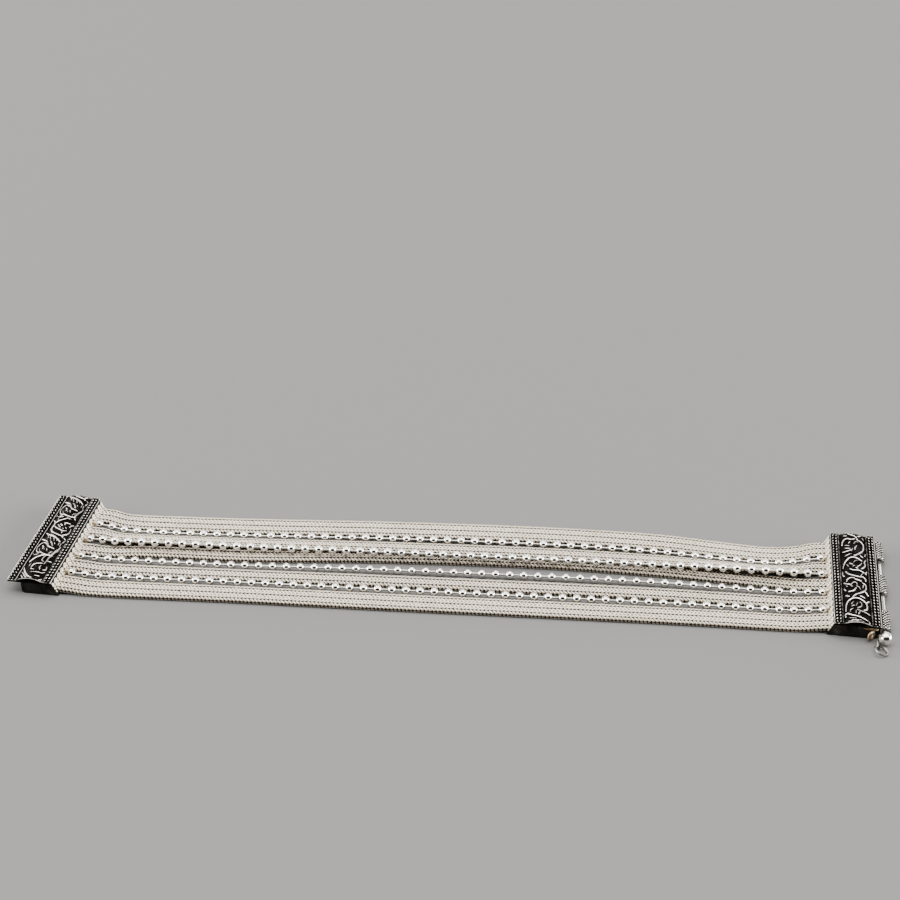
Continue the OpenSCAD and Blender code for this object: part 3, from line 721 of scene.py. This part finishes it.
RIGHT_BAND = [
    # Near end
    ([(0.2, 1.8), (0.5, 0.6), (0.4, -0.8), (0.5, -2.0)], 0.36, 0.4, 0.36),
    ([(0.95, 0.5), (0.9, -1.3)], 0.3, 0.36, 0.3),
    ([(0.4, 2.5), (1.1, 2.2)], 0.26, 0.32, 0.28),
    ([(1.5, -0.5), (1.7, -1.9)], 0.26, 0.32, 0.24),
    ([(1.2, 1.9), (1.7, 1.0), (2.15, 0.1), (2.6, -1.1), (3.35, -2.15), (2.9, -2.6),
      (2.2, -2.5)], 0.4, 0.5, 0.44),
    # First curl
    ([(4.6, 1.35), (5.2, 1.9), (6.2, 2.1), (7.5, 1.8), (8.4, 0.9), (8.7, -0.1), (8.4, -1.1),
      (7.6, -1.85), (6.5, -2.2),
      (5.2, -2.35), (4.1, -2.4)], 0.44, 0.52, 0.34),
    ([(3.0, 0.1), (4.0, 0.45)], 0.26, 0.34, 0.28),
    ([(3.2, -0.4), (4.2, -0.35)], 0.24, 0.3, 0.26),
    ([(3.6, 2.4), (3.9, 1.7), (4.15, 0.9), (4.55, -0.15)], 0.38, 0.34, 0.3),
    ([(4.95, -0.9), (4.55, -1.45), (3.9, -1.5)], 0.24, 0.3, 0.22),
    ([(5.2, 0.0), (5.8, 0.7), (6.7, 0.95), (7.5, 0.55)], 0.26, 0.34, 0.26),
    ([(6.0, -0.25), (7.1, 0.1)], 0.24, 0.3, 0.2),
    ([(5.8, -1.1), (6.05, -0.7)], 0.34, 0.36, 0.28),
    ([(6.6, -1.2), (7.4, -0.8)], 0.22, 0.28, 0.2),
    ([(7.5, 1.85), (8.3, 2.5), (8.8, 2.75)], 0.4, 0.42, 0.3),
    # Stem to the second arch, with its leaves
    ([(9.2, 1.65), (9.6, 0.8)], 0.44, 0.48, 0.36),
    ([(8.8, -1.0), (9.9, -0.25), (10.7, 0.85), (11.6, 1.7), (11.05, 2.25), (10.5, 2.5)], 0.3, 0.48, 0.5),
    ([(11.8, 1.75), (12.9, 2.15), (14.1, 2.1), (14.6, 1.5)], 0.34, 0.42, 0.4),
    ([(12.8, 1.45), (14.1, 1.65)], 0.24, 0.32, 0.26),
    ([(9.3, -1.6), (9.8, -2.15)], 0.46, 0.46, 0.36),
    ([(11.0, -1.55), (11.35, -0.6), (12.4, 0.0)], 0.46, 0.5, 0.34),
    ([(11.9, 0.9), (12.7, 0.7), (13.1, 0.15)], 0.24, 0.32, 0.24),
    ([(11.5, -2.2), (12.2, -2.5)], 0.4, 0.42, 0.3),
    ([(12.9, -0.85), (13.6, -1.2), (14.0, -1.95), (14.4, -2.4)], 0.36, 0.44, 0.36),
    ([(13.6, -1.0), (14.4, -0.5), (14.3, 0.15), (13.8, 0.2)], 0.28, 0.36, 0.3),
    ([(12.9, -1.8), (13.3, -2.1)], 0.22, 0.28, 0.22),
    ([(15.2, 1.1), (15.6, -0.05)], 0.54, 0.56, 0.4),
    ([(14.8, -1.9), (15.6, -1.65), (16.1, -1.0), (16.0, -0.2)], 0.36, 0.42, 0.34),
    # Crossing before the second curl
    ([(15.8, 2.2), (16.4, 2.2), (16.9, 1.6), (16.65, 0.7), (17.0, -0.5), (17.6, -1.45),
      (18.5, -1.9)], 0.46, 0.46, 0.4),
    ([(16.9, -2.35), (17.6, -2.65), (18.5, -2.55)], 0.44, 0.46, 0.34),
    ([(18.3, 2.3), (19.0, 2.5), (19.6, 2.75)], 0.5, 0.46, 0.34),
    ([(18.6, 2.0), (19.1, 0.9), (19.0, -0.3), (19.4, -1.0)], 0.46, 0.46, 0.4),
    ([(17.2, 1.2), (18.4, 1.7)], 0.26, 0.34, 0.26),
    # Second curl
    ([(20.0, 1.5), (20.8, 2.1), (21.8, 2.4), (22.6, 2.25), (23.4, 2.45), (24.0, 2.75)], 0.4, 0.46, 0.34),
    ([(23.0, 1.6), (23.6, 0.8), (23.9, -0.1), (23.5, -1.1), (22.5, -1.75), (21.2, -2.2),
      (19.8, -2.45)], 0.5, 0.5, 0.3),
    ([(20.5, 0.6), (21.2, 1.2), (22.1, 1.6)], 0.26, 0.36, 0.26),
    ([(19.8, 0.65), (20.1, 0.25)], 0.36, 0.38, 0.3),
    ([(21.2, -0.4), (21.6, -1.0)], 0.34, 0.4, 0.28),
    ([(20.3, -1.3), (21.2, -1.6)], 0.26, 0.32, 0.24),
    ([(20.4, -0.4), (20.9, 0.1)], 0.22, 0.28, 0.2),
    ([(21.9, -0.2), (22.7, 0.3), (22.9, 1.0)], 0.22, 0.3, 0.24),
    # Fronds behind the second curl
    ([(24.6, 0.1), (25.4, 1.0), (26.4, 1.7), (27.7, 2.35)], 0.34, 0.44, 0.34),
    ([(24.5, 1.95), (24.9, 1.4)], 0.4, 0.42, 0.3),
    ([(25.2, 2.4), (26.4, 2.75)], 0.3, 0.36, 0.28),
    ([(24.3, -1.9), (24.9, -1.2), (25.2, -0.5)], 0.24, 0.32, 0.24),
    ([(26.9, -0.3), (26.3, -1.2), (25.95, -2.3)], 0.36, 0.4, 0.34),
    ([(26.2, -0.5), (27.4, -0.1)], 0.24, 0.32, 0.26),
    ([(27.2, -0.7), (27.4, -1.7)], 0.38, 0.42, 0.3),
    ([(27.0, 0.35), (27.7, 0.4), (28.5, 0.75)], 0.34, 0.42, 0.3),
    ([(28.3, -0.9), (28.6, -1.8)], 0.32, 0.36, 0.28),
    # Last curl, and the strokes in the far corner
    ([(27.8, 2.2), (28.8, 2.35), (29.9, 2.2), (30.6, 1.6), (31.0, 0.9)], 0.42, 0.5, 0.4),
    ([(28.7, -2.35), (30.0, -2.2), (30.9, -1.75), (31.2, -1.0), (30.8, -0.4),
      (31.3, 0.5)], 0.4, 0.46, 0.36),
    ([(29.2, 0.2), (30.0, 0.5), (30.1, 1.2)], 0.24, 0.32, 0.24),
    ([(29.4, -0.9), (30.1, -0.6)], 0.26, 0.32, 0.24),
    ([(31.6, 0.95), (32.3, 0.4), (32.75, -0.5), (33.1, -1.1)], 0.38, 0.44, 0.34),
    ([(32.2, -1.3), (32.4, -1.95)], 0.36, 0.4, 0.3),
    ([(32.8, 1.8), (32.3, 1.05)], 0.3, 0.36, 0.3),
    ([(31.4, 2.5), (32.2, 2.1)], 0.26, 0.32, 0.24),
]



# Spacing of the points along a stroke
STROKE_STEP = 0.1


def smooth_line(points):
    """Catmull-Rom curve through the points, as closely spaced points and their share of the way."""
    p = np.asarray(points, float)
    p = np.vstack([2 * p[0] - p[1], p, 2 * p[-1] - p[-2]])
    line = []
    for i in range(1, len(p) - 2):
        k = max(2, int(np.linalg.norm(p[i + 1] - p[i]) / STROKE_STEP))
        t = np.linspace(0, 1, k, endpoint=False)[:, None]
        line.append(0.5 * (
            2 * p[i] + (p[i + 1] - p[i - 1]) * t
            + (2 * p[i - 1] - 5 * p[i] + 4 * p[i + 1] - p[i + 2]) * t**2
            + (3 * p[i] - p[i - 1] - 3 * p[i + 1] + p[i + 2]) * t**3
        ))
    line.append(p[-2][None])
    line = np.vstack(line)
    return line, np.linspace(0, 1, len(line))


def stroke_discs(strokes, first):
    """Centres and half widths of the discs that make up the strokes, moved along the cap by FIRST."""
    centres, radii = [], []
    for points, at_start, at_middle, at_end in strokes:
        line, t = smooth_line(points)
        width = np.interp(t, [0, 0.5, 1], [at_start, at_middle, at_end])
        centres.append(line + [first, 0])
        radii.append(0.5 * width)
    return np.vstack(centres), np.concatenate(radii)


def ornament_heights(v, h, side):
    """Height of the cast relief at the grid (v, h), from 0 on the ground to 1 on a thick stroke."""
    if side == "left":
        sets = ((LEFT_START, 0), (LEFT_MOTIF, START_L), (LEFT_MOTIF, START_L + REPEAT))
    else:
        sets = ((RIGHT_BAND, 0),)
    height = np.zeros((len(v), len(h)))
    for strokes, first in sets:
        for (cv, ch), r in zip(*stroke_discs(strokes, first)):
            i = slice(*np.searchsorted(v, (cv - r, cv + r)))
            j = slice(*np.searchsorted(h, (ch - r, ch + r)))
            d2 = ((v[i, None] - cv) ** 2 + (h[None, j] - ch) ** 2) / r**2
            dome = np.sqrt(np.clip(1 - d2, 0, 1)) * min(1.0, 0.55 + r)
            height[i, j] = np.maximum(height[i, j], dome)
    return height


# The crowned bands: spacing of their grid, height of strokes and veins, how deep the ground lies under the
# smooth crown, the width of the rim where strokes fade out, and how much of the veins' waves is cut off
BAND_STEP = 0.075
STROKE_H, VEIN_H, GROUND_DROP, RIM_FADE, VEIN_FLOOR = 0.34, 0.2, 0.06, 0.2, 0.76


def crown_rise(h):
    """Height of the crowned band over the plate at H across it."""
    crown_r = (CROWN_W**2 / 4 + CROWN_H**2) / (2 * CROWN_H)
    return CROWN_H - crown_r + np.sqrt(np.maximum(crown_r**2 - np.minimum(np.abs(h), CROWN_W / 2) ** 2, 0))


def ground_veins(v, h):
    """Faint winding marks of the ground, 0 over most of it."""
    along = np.sin(v * 7.1 + 2.4 * np.sin(h * 3.7 + 1.3 * np.sin(v * 1.9)))
    across = np.sin(h * 8.3 + 2.1 * np.sin(v * 3.1))
    return np.clip(np.abs(along * across) - VEIN_FLOOR, 0, 1)


def crown_band(soup, side):
    """Crowned band with its cast relief, bright on the raised strokes and black on the ground."""
    length = CAP_L - 2 * EDGE_D
    v = np.linspace(-length / 2, length / 2, int(length / BAND_STEP))
    h = np.linspace(-CROWN_W / 2, CROWN_W / 2, int(CROWN_W / BAND_STEP))
    vv, hh = np.meshgrid(v, h, indexing="ij")
    height = ornament_heights(v + CAP_L / 2, h, side)
    veins = ground_veins(vv, hh) * (height < 0.05)
    rim = np.minimum(CROWN_W / 2 - np.abs(hh), length / 2 - np.abs(vv))
    height = height * np.clip(rim / RIM_FADE, 0, 1)
    z = PLATE_Z + crown_rise(hh) + STROKE_H * height + VEIN_H * veins - GROUND_DROP
    points = np.stack([PLATE_W / 2 + hh, vv, z], -1)
    mark = np.clip(2.2 * np.maximum(height - 0.32, 0) + 2.4 * veins, 0, 1)
    soup.add(points, grid_faces(len(v), len(h))[:, ::-1], mark=mark)
    for i in (0, -1):
        edge = points[i]
        foot = edge * [1, 1, 0] + [0, 0, PLATE_Z - 0.1]
        faces = grid_faces(2, len(h))
        soup.add(np.stack([edge, foot]), faces if i == 0 else faces[:, ::-1], mark=0.1)


# End caps, whose meshes have oxidised silver in slot 0

# The last slot is the near-black core, painted shade under the lip's stitches
CAP_MATERIALS = [OXIDISED, SOLDER, SHEET, TAN, WIRE, SHADE_CORE]
IN_SOLDER, IN_SHEET, IN_TAN, IN_WIRE, IN_SHADE_CORE = range(1, 6)

PLATE_UNDER = PLATE_Z - PLATE_T
BOX_END = (CAP_L - 0.5) / 2
# Ropes: length of a turn and rings in it, radius of a strand and its way from the rope's middle, and how
# far the rope sinks into the plate
TURN_L, TURN_RINGS = 2.14, 18
STRAND_R, STRAND_REACH, ROPE_SINK = 0.265 * ROPE_D, 0.235 * ROPE_D, 0.08
# The worn top of a rope begins so far over its middle, and turns bright in so much height
TOP_WEAR, TOP_BLEND = 0.295, 0.05
# Stitches of the lip: distance across, half width and height of a leg
LIP_PITCH, LIP_LEG_R, LIP_LEG_H = 0.97, 0.29, 0.18
# Clasp: how much shorter than its place a knuckle is at each end, play of the pin in the bore, the knurl's
# depth, waves round and waves along, and the width and drop of the smooth rim at a knuckle's ends
KNUCKLE_PLAY, PIN_PLAY = 0.12, 0.07
KNURL_DEPTH, KNURL_AROUND, KNURL_ALONG = 0.16, 5, 3.6
RIM_W, RIM_DROP = 0.22, 0.07
KNUCKLE_END = 0.3 - 2.5 * KNUCKLE_L
AXIS_Z = KNUCKLE_D / 2 + 0.15
RIGHT_AXIS_U = PLATE_W + 0.86
LEFT_AXIS_U = PLATE_W - 0.8
LEFT_WALL = PLATE_W - OVERHANG
RIGHT_WALL = RIGHT_AXIS_U - KNUCKLE_D / 2 - 0.1


def rope(soup, u, twist):
    """Two strands of wire twisted round each other along the cap, bright on top. TWIST is 1 or -1."""
    middle = PLATE_Z + ROPE_D / 2 - ROPE_SINK
    worn_z = middle + TOP_WEAR
    v = np.linspace(-CAP_L / 2 + 0.12, CAP_L / 2 - 0.12, int(CAP_L / TURN_L * TURN_RINGS))
    for phase in (0, math.pi):
        a = twist * 2 * math.pi * v / TURN_L + phase
        path = np.stack([u + STRAND_REACH * np.cos(a), v, middle + STRAND_REACH * np.sin(a)], -1)
        tube(soup, path, STRAND_R, 12, mark=lambda q: np.clip((q[:, 2] - worn_z) / TOP_BLEND, 0, 1))


def border(soup, twist, outer_wear):
    """Plain and twisted wires along the plate, the outer pair twisted the other way. OUTER_WEAR is how
    bright the plain wire between the outer pair and the crowned band is worn."""
    for u in (0.25 + ROPE_D / 2, 0.23 + ROPE_D * 1.5):
        rope(soup, u, twist)
        rope(soup, PLATE_W - u, -twist)
    crown_side = PLATE_W / 2 - CROWN_W / 2 - EDGE_D / 2
    band_side = ((EDGE_D / 2, 1.0), (crown_side, 0.45))
    clasp_side = ((PLATE_W - crown_side, outer_wear), (PLATE_W - EDGE_D / 2, 0.75))
    for u, mark in band_side + clasp_side:
        path = [(u, v, PLATE_Z + 0.15) for v in np.linspace(-CAP_L / 2, CAP_L / 2, 12)]
        tube(soup, path, EDGE_D / 2, 8, mark=mark)
    for v in (-CAP_L / 2 + EDGE_D / 2, CAP_L / 2 - EDGE_D / 2):
        u = np.linspace(0, PLATE_W, 50)
        rise = crown_rise(u - PLATE_W / 2) * (np.abs(u - PLATE_W / 2) < CROWN_W / 2)
        path = np.stack([u, np.full_like(u, v), PLATE_Z + 0.04 + rise], -1)
        tube(soup, path, 0.36 * EDGE_D, 8, mark=0.52)


def cap_box(soup, wall):
    """Box with its slanted lip: dark walls, and the lip under its stitches painted near black as shade."""
    top = PLATE_UNDER + 0.1
    outline = [(-LIP, 0.0), (wall - 0.5, 0.0), (wall, 0.5), (wall, top), (0.0, top), (0.0, PLATE_UNDER)]
    points = np.array([[(u, v, z) for u, z in outline] for v in (-BOX_END, BOX_END)])
    n = len(outline)
    for k in range(n):
        j = (k + 1) % n
        # The lip's face takes the near-black core: painted shade under the stitches
        soup.add(points, [[k, j, j + n, k + n]], IN_SHADE_CORE if k == n - 1 else IN_SHEET, 0.5)
    close_ends(soup, points, IN_SHEET, 0.5)


def lip_stitches(soup):
    """Stitches of the mesh that run up the slanted lip to the border of the plate."""
    slope_l = math.hypot(LIP, PLATE_UNDER)

    def place(q):
        along, v, out = q[:, 0] / slope_l, q[:, 1], q[:, 2]
        u = -LIP + LIP * along - out * PLATE_UNDER / slope_l
        return np.stack([u, v, PLATE_UNDER * along + out * LIP / slope_l], -1)

    for k, v in enumerate(np.arange(-CAP_L / 2 + 0.5, CAP_L / 2 - 0.6, LIP_PITCH)):
        foot_v, tip_v = (v + LIP_PITCH, v) if k % 2 == 0 else (v, v + LIP_PITCH)
        along = np.arange(0.5, slope_l - 0.2, STITCH * 0.85) + rng.uniform(-0.04, 0.04)
        sunk = np.full_like(along, -0.02)
        foot = np.stack([along - 0.25, np.full_like(along, foot_v), sunk], -1)
        tip = np.stack([np.minimum(along + 0.7, slope_l - 0.05), np.full_like(along, tip_v), sunk], -1)
        legs(soup, place, foot, tip, (0, 0, 1), LIP_LEG_R, LIP_LEG_H, 5, 6, slot=IN_WIRE)


def row_stubs(soup):
    """Rounded stubs of solder where the ball rows meet the lip."""
    for k in (1.5, 0.5, -0.5, -1.5):
        v = k * ROW_PITCH
        path = [(-2.1, v, 1.4), (-1.8, v, 1.4), (-1.3, v, 1.35), (-0.8, v, 1.5), (-0.4, v, 1.9)]
        tube(soup, path, [0.2, 0.48, 0.74, 0.85, 0.6], 14, slot=IN_SOLDER)


def knuckle(soup, low, axis_u, wall):
    """One knuckle from LOW on: knurled skin, flat ends round the bore, and the web that holds it."""
    length = KNUCKLE_L - 2 * KNUCKLE_PLAY
    around, along = 56, 84
    a = angles(around)
    vv, aa = np.meshgrid(np.linspace(0, length, along), a, indexing="ij")
    turn, lead = aa * KNURL_AROUND, vv * KNURL_ALONG
    knurl = np.sqrt(np.abs(np.sin(turn + lead)) * np.abs(np.sin(turn - lead)))
    inner = np.clip(np.minimum(vv, length - vv) / RIM_W, 0, 1)
    ground_r = KNUCKLE_D / 2 - KNURL_DEPTH
    r = ground_r + KNURL_DEPTH * knurl * inner - RIM_DROP * (1 - inner)
    points = np.stack([axis_u + r * np.cos(aa), low + vv, AXIS_Z + r * np.sin(aa)], -1)
    mark = np.clip(2.2 * (knurl - 0.5) * inner + 0.6 * (1 - inner), 0, 1)
    soup.add(points, grid_faces(along, around, True), mark=mark)
    for v in (low, low + length):
        ring = [
            (axis_u + q * math.cos(t), v, AXIS_Z + q * math.sin(t))
            for q in (ground_r - RIM_DROP, PIN_D / 2 + PIN_PLAY) for t in a
        ]
        faces = grid_faces(2, around, True)
        soup.add(ring, faces if v == low else faces[:, ::-1], mark=0.6)
    web_low = (wall - 0.2, low, AXIS_Z - 0.9)
    web_high = (axis_u - KNUCKLE_D / 2 + 0.3, low + length, AXIS_Z + 0.9)
    slab(soup, web_low, web_high, 0.05, mark=0.3)


def tan_eye(soup):
    """Tan eye on the near end wall of the right box, and the seam of tan solder on that wall."""
    turn = math.radians(50)
    centre = (RIGHT_WALL - 1.5, -BOX_END - 0.7, AXIS_Z - 0.2)
    hoop(soup, centre, (math.cos(turn), math.sin(turn), 0), (0, 0, 1), 0.85, 0.3, slot=IN_TAN)
    seam = [
        (u, 0.08 - BOX_END, PLATE_UNDER - 0.35 - 0.1 * math.sin(3 * u))
        for u in np.linspace(6.0, RIGHT_WALL - 0.1, 12)
    ]
    radii = [0.1, 0.2, 0.3, 0.36, 0.38, 0.4, 0.42, 0.42, 0.44, 0.42, 0.36, 0.2]
    tube(soup, seam, radii, 10, slot=IN_TAN)


def onto_cap(soup, side):
    """Sends a mesh from U, V and Z to its end of the band. The left side is mirrored."""
    sign = -1 if side == "left" else 1
    c, s = math.cos(LEAN), math.sin(LEAN)

    def place(q):
        x, y = sign * q[:, 0], q[:, 1]
        return np.stack([sign * HALF_BAND + x * c + y * s, -x * s + y * c, q[:, 2]], -1)

    soup.map(place, flip=sign < 0)


def cap(side):
    soup = Soup()
    left = side == "left"
    wall = LEFT_WALL if left else RIGHT_WALL
    cap_box(soup, wall)
    lip_stitches(soup)
    slab(soup, (0, -CAP_L / 2, PLATE_UNDER), (PLATE_W, CAP_L / 2, PLATE_Z), 0.07, mark=0.12)
    crown_band(soup, side)
    border(soup, 1 if left else -1, 0.8 if left else 0.45)
    row_stubs(soup)
    for k in (1, 3) if left else (0, 2, 4):
        low = KNUCKLE_END + k * KNUCKLE_L + KNUCKLE_PLAY
        knuckle(soup, low, LEFT_AXIS_U if left else RIGHT_AXIS_U, wall)
    if not left:
        tan_eye(soup)
    onto_cap(soup, side)
    piece = soup.build(f"{side}_end_cap", CAP_MATERIALS, sharp=38)
    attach(piece, "bracelet")
    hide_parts(f"{side}_cap")


# Clasp pin and pull ring, in the right cap's U, V and Z

RING_R = (RING_D - RING_WIRE) / 2
RING_WEAR = 0.48
HEAD_V = KNUCKLE_END - 0.85 - HEAD_D / 2
PIN_TIP = KNUCKLE_END + 5 * KNUCKLE_L + 0.3


def pin():
    """Pin with its ball, and the upright loop on the ball's near side."""
    soup = Soup()
    r = PIN_D / 2
    neck = HEAD_V + HEAD_D / 2
    centre = np.array([RIGHT_AXIS_U, 0.0, AXIS_Z])
    profile = [
        (HEAD_V, r), (neck - 0.1, r), (neck + 0.1, r),
        (PIN_TIP - 0.35, r), (PIN_TIP - 0.1, r * 0.8), (PIN_TIP, r * 0.4), (PIN_TIP, 0.001),
    ]
    lathe(soup, centre, (0, 1, 0), profile, 24)
    lathe(soup, centre + [0, HEAD_V, 0], (0, 1, 0), ball_profile(HEAD_D / 2, 28), 48)
    loop = (RIGHT_AXIS_U - HEAD_D / 2 - 0.1, HEAD_V - 1.7, RING_D / 2 + REST_GAP)
    hoop(soup, loop, (0, 1, 0), (0, 0, 1), RING_R, RING_WIRE / 2, slot=1, mark=RING_WEAR)
    onto_cap(soup, "right")
    piece = soup.build("pin_with_ball", [POLISHED, OXIDISED], sharp=50)
    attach(piece, "pin")
    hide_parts("clasp_pin")


def ring():
    """Loose ring through the loop, lying almost flat on the ground."""
    soup = Soup()
    lean = math.radians(18)
    centre = (RIGHT_AXIS_U - 0.96, HEAD_V - 3.25, RING_WIRE / 2 + REST_GAP + RING_R * math.sin(lean))
    slope = (math.cos(lean), 0, -math.sin(lean))
    hoop(soup, centre, slope, (0, 1, 0), RING_R, RING_WIRE / 2, mark=RING_WEAR)
    onto_cap(soup, "right")
    piece = soup.build("round_pull_ring", [OXIDISED])
    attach(piece, "pin")
    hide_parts("pull_ring")


# Studio: pale floor in a white tent, a soft lamp at each end, and the camera at the photograph's angle.
# Lengths here are in metres, but for the camera's place, and angles in degrees.

FLOOR_SIZE = 12.0
FLOOR_COLOUR = (0.212, 0.211, 0.209)
EXPOSURE = 0.2
TENT_COLOUR, TENT_STRENGTH = (1.0, 0.985, 0.96), 3.0
# The tent's dark opening: the way it faces, the angles from there between which it fades, and its level
OPENING_WAY, OPENING_EDGE, OPENING_LEVEL = (0.10, -0.95, 0.17), (66, 54), 0.03
# The dark band all round: the elevations between which it fades in, and out again, and its level
BAND_FOOT, BAND_TOP, BAND_LEVEL = (8, 16), (42, 54), 0.15
LAMP_X, LAMP_Z, LAMP_SIZE, LAMP_POWER = 2.2, 0.72, (1.5, 0.8), 44
CAMERA_PLACE, CAMERA_DOWN, CAMERA_TURN = (26.73, -312.17, 223.2), 31.5, 4.823
# Focal length and width of the photograph in pixels
FOCAL, PHOTO_W = 1736, 900
SENSOR_W = 36


def pale_floor():
    bpy.ops.mesh.primitive_plane_add(size=FLOOR_SIZE, location=(0, 0, 0))
    floor = bpy.context.object
    floor.name = "floor"
    m, _, b = new_material("pale_floor", 0.0)
    b.inputs["Base Color"].default_value = (*FLOOR_COLOUR, 1)
    b.inputs["Roughness"].default_value = 0.95
    b.inputs["Specular IOR Level"].default_value = 0.15
    floor.data.materials.append(m)


def studio_world():
    """White tent with a wide dark opening in front, and a dark band half way up all round."""
    world = bpy.data.worlds.new("studio")
    world.use_nodes = True
    t = world.node_tree
    way = t.nodes.new("ShaderNodeTexCoord").outputs["Generated"]
    front = t.nodes.new("ShaderNodeVectorMath")
    front.operation = "DOT_PRODUCT"
    front.inputs[1].default_value = Vector(OPENING_WAY).normalized()
    t.links.new(way, front.inputs[0])
    edge = [math.cos(math.radians(a)) for a in OPENING_EDGE]
    opening = span(t, front.outputs["Value"], *edge, 1.0, OPENING_LEVEL)
    axes = t.nodes.new("ShaderNodeSeparateXYZ")
    t.links.new(way, axes.inputs[0])
    foot, top = ([math.sin(math.radians(a)) for a in ends] for ends in (BAND_FOOT, BAND_TOP))
    below = span(t, axes.outputs["Z"], *foot, 1.0, BAND_LEVEL)
    above = span(t, axes.outputs["Z"], *top, BAND_LEVEL, 1.0)
    level = maths(t, "MULTIPLY", opening, maths(t, "MAXIMUM", below, above))
    t.links.new(maths(t, "MULTIPLY", level, TENT_STRENGTH), t.nodes["Background"].inputs["Strength"])
    t.nodes["Background"].inputs["Color"].default_value = (*TENT_COLOUR, 1)
    bpy.context.scene.world = world


def soft_lamp(name, x):
    """Lamp with a wide face, turned to the middle of the floor."""
    light = bpy.data.lights.new(name, "AREA")
    light.shape = "RECTANGLE"
    light.size, light.size_y = LAMP_SIZE
    light.energy = LAMP_POWER
    o = bpy.data.objects.new(name, light)
    o.location = (x, 0, LAMP_Z)
    o.rotation_euler = (-Vector((x, 0, LAMP_Z))).to_track_quat("-Z", "Y").to_euler()
    bpy.context.scene.collection.objects.link(o)


def studio():
    view = bpy.context.scene.view_settings
    view.view_transform = "AgX"
    view.look = "AgX - Medium High Contrast"
    view.exposure = EXPOSURE
    pale_floor()
    studio_world()
    soft_lamp("left", -LAMP_X)
    soft_lamp("right", LAMP_X)


def camera():
    data = bpy.data.cameras.new("camera")
    data.sensor_width = SENSOR_W
    data.lens = FOCAL / PHOTO_W * SENSOR_W
    data.clip_start = 0.01
    o = bpy.data.objects.new("camera", data)
    o.location = (np.array(CAMERA_PLACE) + SHIFT) * MM
    o.rotation_euler = (math.radians(90 - CAMERA_DOWN), 0, math.radians(CAMERA_TURN))
    bpy.context.scene.collection.objects.link(o)
    bpy.context.scene.camera = o


camera()
for number in range(1, 6):
    weave_strap(number)
for number in range(1, 5):
    ball_row(number)
cap("left")
cap("right")
pin()
ring()
studio()
